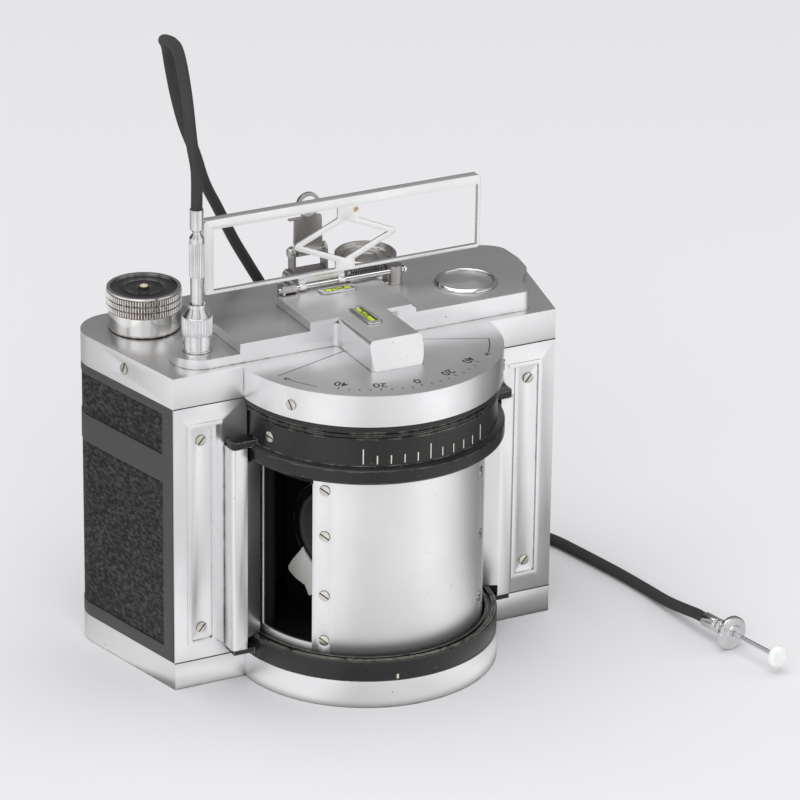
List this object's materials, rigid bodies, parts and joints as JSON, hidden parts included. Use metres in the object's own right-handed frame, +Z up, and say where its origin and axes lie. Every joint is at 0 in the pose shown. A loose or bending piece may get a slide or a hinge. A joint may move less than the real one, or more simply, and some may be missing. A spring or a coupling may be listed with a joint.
{
  "type": "panoramic film camera",
  "caption": "Wide-angle roll-film camera: a lens drum swings between black rings in a flared body, with a folding frame finder, a winding knob and a cable release.",
  "frame": {"origin": "under the middle of the camera's width and depth, on the surface it stands on", "axes": "+Z up, -Y out of the drum's front, +X to the right seen from the front"},
  "size_m": [0.2137, 0.1875, 0.2251],
  "materials": {
    "satin_silver": "satin, fine-grained",
    "black_enamel": "semi-gloss black enamel, worn at edges",
    "plated_steel": "plated, slightly aged",
    "bright_plating": "bright",
    "bare_brass": "turned brass",
    "leather": "pebbled black leather",
    "vial_glass": "tinted spirit in clear vials",
    "lens_glass": "coated, clear",
    "woven_cable": "black woven cloth over a metal coil",
    "white_button": "milky white"
  },
  "bodies": {
    "camera": {"main_frame": "black_enamel", "top_cover": "satin_silver", "top_housing": "satin_silver", "bottom_cover": "satin_silver", "upper_ring": "black_enamel", "lower_ring": "black_enamel", "front_panel_left": "satin_silver", "front_panel_right": "satin_silver", "guard_left": "satin_silver", "guard_right": "satin_silver", "cover_screws": "plated_steel", "panel_screws": "plated_steel", "ring_screws": "plated_steel", "level_bezels": "bright_plating", "level_vials": "vial_glass", "badge_rim": "bright_plating", "badge_plate": "plated_steel", "hinge_bracket": "plated_steel", "hinge_rod": "plated_steel", "hinge_spring": "plated_steel", "sight_pin": "plated_steel", "release_socket": "plated_steel", "tripod_bush": "bare_brass", "drum_bushes": "bare_brass", "spool_pins": "plated_steel", "cable_nut": "bright_plating", "cable_ferrule": "bright_plating", "cable": "woven_cable", "end_ferrule": "bright_plating", "finger_disc": "bright_plating"},
    "back": {"back_cover": "black_enamel", "leather_panels": "leather", "pressure_plate": "black_enamel", "pressure_springs": "plated_steel"},
    "drum": {"drum_shell": "satin_silver", "drum_discs": "black_enamel", "drum_posts": "black_enamel", "lens_tunnel": "black_enamel", "lens_board": "black_enamel", "lens_barrel": "black_enamel", "lens_front": "lens_glass", "lens_rear": "lens_glass", "drum_screws": "bare_brass"},
    "aperture": {"aperture_ring": "bright_plating"},
    "wind": {"wind_knob": "bright_plating", "wind_disc": "black_enamel", "wind_shaft": "plated_steel"},
    "take_up": {"take_up_spool": "plated_steel"},
    "supply": {"supply_spool": "plated_steel"},
    "roller_a": {"roller_left": "plated_steel"},
    "roller_b": {"roller_right": "plated_steel"},
    "dial": {"dial": "plated_steel"},
    "finder": {"finder_frame": "plated_steel"},
    "sight": {"rear_sight": "plated_steel"},
    "release": {"release_pin": "plated_steel"},
    "plunger": {"plunger_rod": "plated_steel", "plunger_button": "white_button"},
    "lock_a": {"back_lock_left": "satin_silver"},
    "lock_b": {"back_lock_right": "satin_silver"}
  },
  "joints": [
    {"name": "drum_swing", "type": "hinge", "parent": "camera", "child": "drum", "pos_m": [0, -0.0075, 0.0513], "axis": [0, 0, 1], "range_deg": [-1.4, 138.6]},
    {"name": "aperture_turn", "type": "hinge", "parent": "drum", "child": "aperture", "pos_m": [-0.0149, -0.01334, 0.0513], "axis": [-0.9311, -0.3649, 0], "range_deg": [-20, 30]},
    {"name": "wind_turn", "type": "hinge", "parent": "camera", "child": "wind", "pos_m": [-0.0638, 0.0399, 0.125], "axis": [0, 0, 1], "continuous": true},
    {"name": "take_up_turn", "type": "hinge", "parent": "camera", "child": "take_up", "pos_m": [-0.0638, 0.0399, 0.0513], "axis": [0, 0, 1], "continuous": true},
    {"name": "supply_turn", "type": "hinge", "parent": "camera", "child": "supply", "pos_m": [0.0638, 0.0399, 0.0513], "axis": [0, 0, 1], "continuous": true},
    {"name": "roller_left_turn", "type": "hinge", "parent": "camera", "child": "roller_a", "pos_m": [-0.0477, 0.0099, 0.0513], "axis": [0, 0, 1], "continuous": true},
    {"name": "roller_right_turn", "type": "hinge", "parent": "camera", "child": "roller_b", "pos_m": [0.0477, 0.0099, 0.0513], "axis": [0, 0, 1], "continuous": true},
    {"name": "dial_turn", "type": "hinge", "parent": "camera", "child": "dial", "pos_m": [0.025, 0.043, 0.129], "axis": [0, 0, 1], "range_deg": [0, 300]},
    {"name": "finder_fold", "type": "hinge", "parent": "camera", "child": "finder", "pos_m": [0.0061, 0.0221, 0.131], "axis": [1, 0, 0], "range_deg": [0, 90]},
    {"name": "sight_fold", "type": "hinge", "parent": "camera", "child": "sight", "pos_m": [0.00365, 0.0465, 0.1338], "axis": [1, 0, 0], "range_deg": [0, 90]},
    {"name": "back_slide", "type": "slide", "parent": "camera", "child": "back", "axis": [0, 1, 0], "range_m": [0, 0.014]},
    {"name": "back_lock_left_turn", "type": "hinge", "parent": "camera", "child": "lock_a", "pos_m": [-0.032, 0.0425, 0.001], "axis": [0, 0, 1], "range_deg": [0, 90]},
    {"name": "back_lock_right_turn", "type": "hinge", "parent": "camera", "child": "lock_b", "pos_m": [0.032, 0.0425, 0.001], "axis": [0, 0, 1], "range_deg": [0, 90]},
    {"name": "plunger_push", "type": "slide", "parent": "camera", "child": "plunger", "axis": [-0.1908, 0.9816, 0], "range_m": [0, 0.008], "stiffness_N_per_m": 150, "springref_m": -0.01},
    {"name": "release_push", "type": "slide", "parent": "camera", "child": "release", "axis": [0, 0, -1], "range_m": [0, 0.008]}
  ],
  "couplings": [
    {"joint": "take_up_turn", "follows": "wind_turn", "ratio": 1},
    {"joint": "release_push", "follows": "plunger_push", "ratio": 1}
  ]
}
